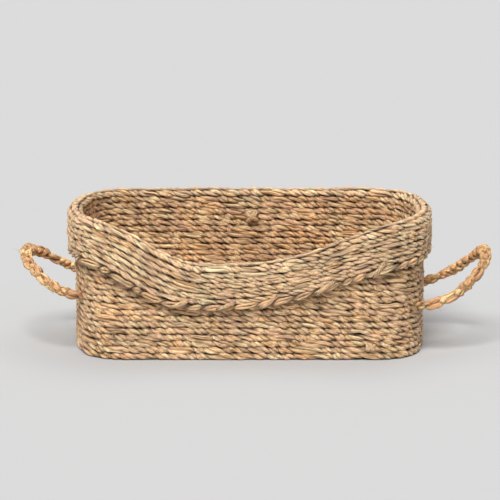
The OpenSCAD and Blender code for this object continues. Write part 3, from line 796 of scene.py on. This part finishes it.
# ---- Handles: side is -1 for the left end and 1 for the right end ----
LEG_STAKES = {-1: (4, 4), 1: (4, 3)}
LEG_Z = {-1: 57.5, 1: 48.0}
LOOP_L = {-1: 62.0, 1: 74.0}
SLOPES = {-1: (17.0, 47.0), 1: (14.0, 58.0)}
SIDE_NAME = {-1: "left", 1: "right"}
STRAIGHT_SHARE, LEG_SHARE = 0.1, 0.06
ROOT_R = ROOT_D / 2
LOOP_POINTS, BOW_STEPS, KNOT_POINTS = 81, 12, 49
ROOT_STEP, ROOT_PAST_KNOT, ROOT_NARROWS = 3, 3, 4
KNOT_INSET, KNOT_START, KNOT_ADVANCE = 1, 0.6, 0.7
BRAID_LENGTH = 14.0  # along the braid, for each half turn
PLAIT_SAMPLES, PLAIT_FIBRES_PER_AREA = 10, 5000.0
KNOT_HALF_TURNS, KNOT_SAMPLES = 10, 120


def leg_s(side, leg):
    return ((2 - side) * STAKES / 4 + side * leg * LEG_STAKES[side][leg > 0]) * PITCH


def leg_y(side, leg):
    return wall_point(leg_s(side, leg), 0.0)[1]


def hinge_x(side):
    return max(abs(wall_point(leg_s(side, leg), WALL_OUT)[0]) for leg in (-1, 1)) + HINGE_OUT


def knot_x(side, leg):
    r = CORNER_R - WALL_OUT
    reach = abs(leg_y(side, leg)) + ROOT_R + 2 * KNOT_R - CORNER_Y
    return CORNER_X + r * math.cos(math.asin(max(0.0, min(1.0, reach / r)))) - KNOT_INSET


def bow(u, side):
    """Side view of the loop: how far out and how far up it is at distance u from its hinge, and its slope."""
    root, tip = SLOPES[side]
    shares = [(k + 0.5) / BOW_STEPS * u / LOOP_L[side] for k in range(BOW_STEPS)]
    slopes = [math.radians(root + (tip - root) * share) for share in shares]
    slope = math.radians(root + (tip - root) * u / LOOP_L[side])
    step = u / BOW_STEPS
    return step * sum(map(math.cos, slopes)), step * sum(map(math.sin, slopes)), slope


def handle_path(side):
    """The braid from its knotted front end, out through the wall, round the loop and back in again."""
    ys = leg_y(side, -1), leg_y(side, 1)
    mid_y, half_y = (ys[0] + ys[1]) / 2, (ys[1] - ys[0]) / 2
    hinge, long = hinge_x(side), LOOP_L[side]
    spots = []
    for t in np.linspace(0, 1, LOOP_POINTS):
        round_t = max(0.0, min(1.0, (t - LEG_SHARE) / (1 - 2 * LEG_SHARE)))
        u = STRAIGHT_SHARE * long * min(1.0, t / LEG_SHARE, (1 - t) / LEG_SHARE)
        u += (1 - STRAIGHT_SHARE) * long * math.sin(math.pi * round_t)
        x, z, slope = bow(u, side)
        y = mid_y - half_y * math.cos(math.pi * round_t)
        spots.append((side * (hinge + x), y, LEG_Z[side] + z, slope))
    for leg in (-1, 1):
        inner = knot_x(side, leg) - 4 * KNOT_R - ROOT_PAST_KNOT
        for x in np.arange(hinge - ROOT_STEP, inner, -ROOT_STEP):
            spot = (side * x, ys[leg > 0], LEG_Z[side], math.radians(SLOPES[side][0]))
            if leg < 0:
                spots.insert(0, spot)
            else:
                spots.append(spot)
    path = []
    for i, (x, y, z, slope) in enumerate(spots):
        before, after = spots[max(i - 1, 0)], spots[min(i + 1, len(spots) - 1)]
        tangent = np.array(after[:3]) - np.array(before[:3])
        normal = np.array((-side * math.sin(slope), 0.0, math.cos(slope)))
        across = np.cross(tangent, normal)
        squeezed = ROOT_D / BRAID_D if abs(x) < hinge - ROOT_NARROWS else 1.0
        path.append((np.array((x, y, z)), normal, across / np.linalg.norm(across), squeezed))
    return path


def knot_path(side, leg):
    """Two turns of the braid's end round its root."""
    path = []
    radius = ROOT_R + KNOT_R
    for a in np.linspace(0, 4 * math.pi, KNOT_POINTS):
        x = knot_x(side, leg) - KNOT_R * (KNOT_START + a / math.pi * KNOT_ADVANCE)
        radial = np.array((0.0, math.cos(a), math.sin(a) * side))
        place = np.array((side * x, leg_y(side, leg), LEG_Z[side])) + radial * radius
        path.append((place, radial, np.array((1.0, 0.0, 0.0)), 1.0))
    return path


for side, name in SIDE_NAME.items():
    path = handle_path(side)
    length = sum(np.linalg.norm(path[i][0] - path[i - 1][0]) for i in range(1, len(path)))
    turns = even(length / BRAID_LENGTH)
    settings = twine(turns, False, PLAIT_SEED + side, BRAID_GRASS, Strands=3, Blades=1,
                     Points=turns * PLAIT_SAMPLES, Out_beat=2.0, Out_start=0.0, Throw_out=2.1 * MM,
                     Throw_across=3.3 * MM, Width=5.6 * MM, Thickness=4.9 * MM, Waist=0.0, Dwell=0.0,
                     Crease=0.18, Bare_edge=0.65, Taper=0.01)
    plait = grown(f"{name}_plait", STRANDS, path_mesh([path]), settings)
    plait = with_fibres([plait], PLAIT_FIBRE_SEED + side, PLAIT_FIBRES_PER_AREA)
    made = joined(f"{name}_handle_plait", plait)
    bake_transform(made)
    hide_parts(f"{name}_handle", f"{name}_handle_roots")
    coils = path_mesh([knot_path(side, -1), knot_path(side, 1)])
    settings = twine(KNOT_HALF_TURNS, False, KNOT_SEED + side, BRAID_GRASS, Blades=1, Points=KNOT_SAMPLES,
                     Throw_out=0.9 * MM, Throw_across=0.9 * MM, Width=2.6 * MM, Thickness=2.4 * MM, Waist=0.0,
                     Bare_edge=0.8)
    piece(f"{name}_handle_knot_coils", "basket", [f"{name}_handle_knots"],
          [grown(f"{name}_knots", STRANDS, coils, settings)])

# ---- Stage, light and camera ----
SKY, KEY, BACK = 0.42, 3.2, 0.7
FLOOR_REACH, FLOOR_LEVEL = 12, -0.0005
corners = [(x * FLOOR_REACH, y * FLOOR_REACH, 0) for x, y in ((-1, -1), (1, -1), (1, 1), (-1, 1))]
floor = bpy.data.meshes.new("floor")
floor.from_pydata(corners, [], [(0, 1, 2, 3)])
floor = bpy.data.objects.new("floor", floor)
bpy.context.collection.objects.link(floor)
paper = bpy.data.materials.new("studio_paper")
paper.use_nodes = True
sheet = paper.node_tree.nodes["Principled BSDF"].inputs
sheet["Base Color"].default_value = hex_linear("#bababa")
sheet["Roughness"].default_value = 1.0
sheet["Specular IOR Level"].default_value = 0.0
floor.data.materials.append(paper)
floor.location.z = FLOOR_LEVEL

world = bpy.data.worlds.new("studio")
bpy.context.scene.world = world
world.use_nodes = True
world.node_tree.nodes["Background"].inputs["Color"].default_value = (1.0, 1.0, 1.0, 1.0)
world.node_tree.nodes["Background"].inputs["Strength"].default_value = SKY


def softbox(name, strength, softness, toward):
    """A large soft lamp, far away, that shines along a direction."""
    lamp = bpy.data.lights.new(name, "SUN")
    lamp.energy = strength
    lamp.angle = math.radians(softness)
    lamp = bpy.data.objects.new(name, lamp)
    bpy.context.collection.objects.link(lamp)
    lamp.rotation_euler = Vector(toward).to_track_quat("-Z", "Y").to_euler()


softbox("key_softbox", KEY, 30, (0.2, 0.8, -1.15))
softbox("back_softbox", BACK, 40, (-0.1, -0.42, -1.0))

CAMERA_AWAY, CAMERA_TILT, AIM_UP = 2.1, math.radians(12.0), math.radians(0.54)
CAMERA_SIDE, CAMERA_RISE = 0.0003, 0.07
FILM, VIEW_WIDTH = 36, 0.5  # millimetres, and metres seen at the basket
camera = bpy.data.objects.new("camera", bpy.data.cameras.new("camera"))
bpy.context.collection.objects.link(camera)
camera.location = (CAMERA_SIDE, -CAMERA_AWAY * math.cos(CAMERA_TILT),
                   CAMERA_RISE + CAMERA_AWAY * math.sin(CAMERA_TILT))
camera.rotation_euler = (math.pi / 2 - CAMERA_TILT + AIM_UP, 0, 0)
camera.data.sensor_width = FILM
camera.data.lens = FILM * CAMERA_AWAY / VIEW_WIDTH
bpy.context.scene.camera = camera
bpy.context.scene.view_settings.view_transform = "Standard"

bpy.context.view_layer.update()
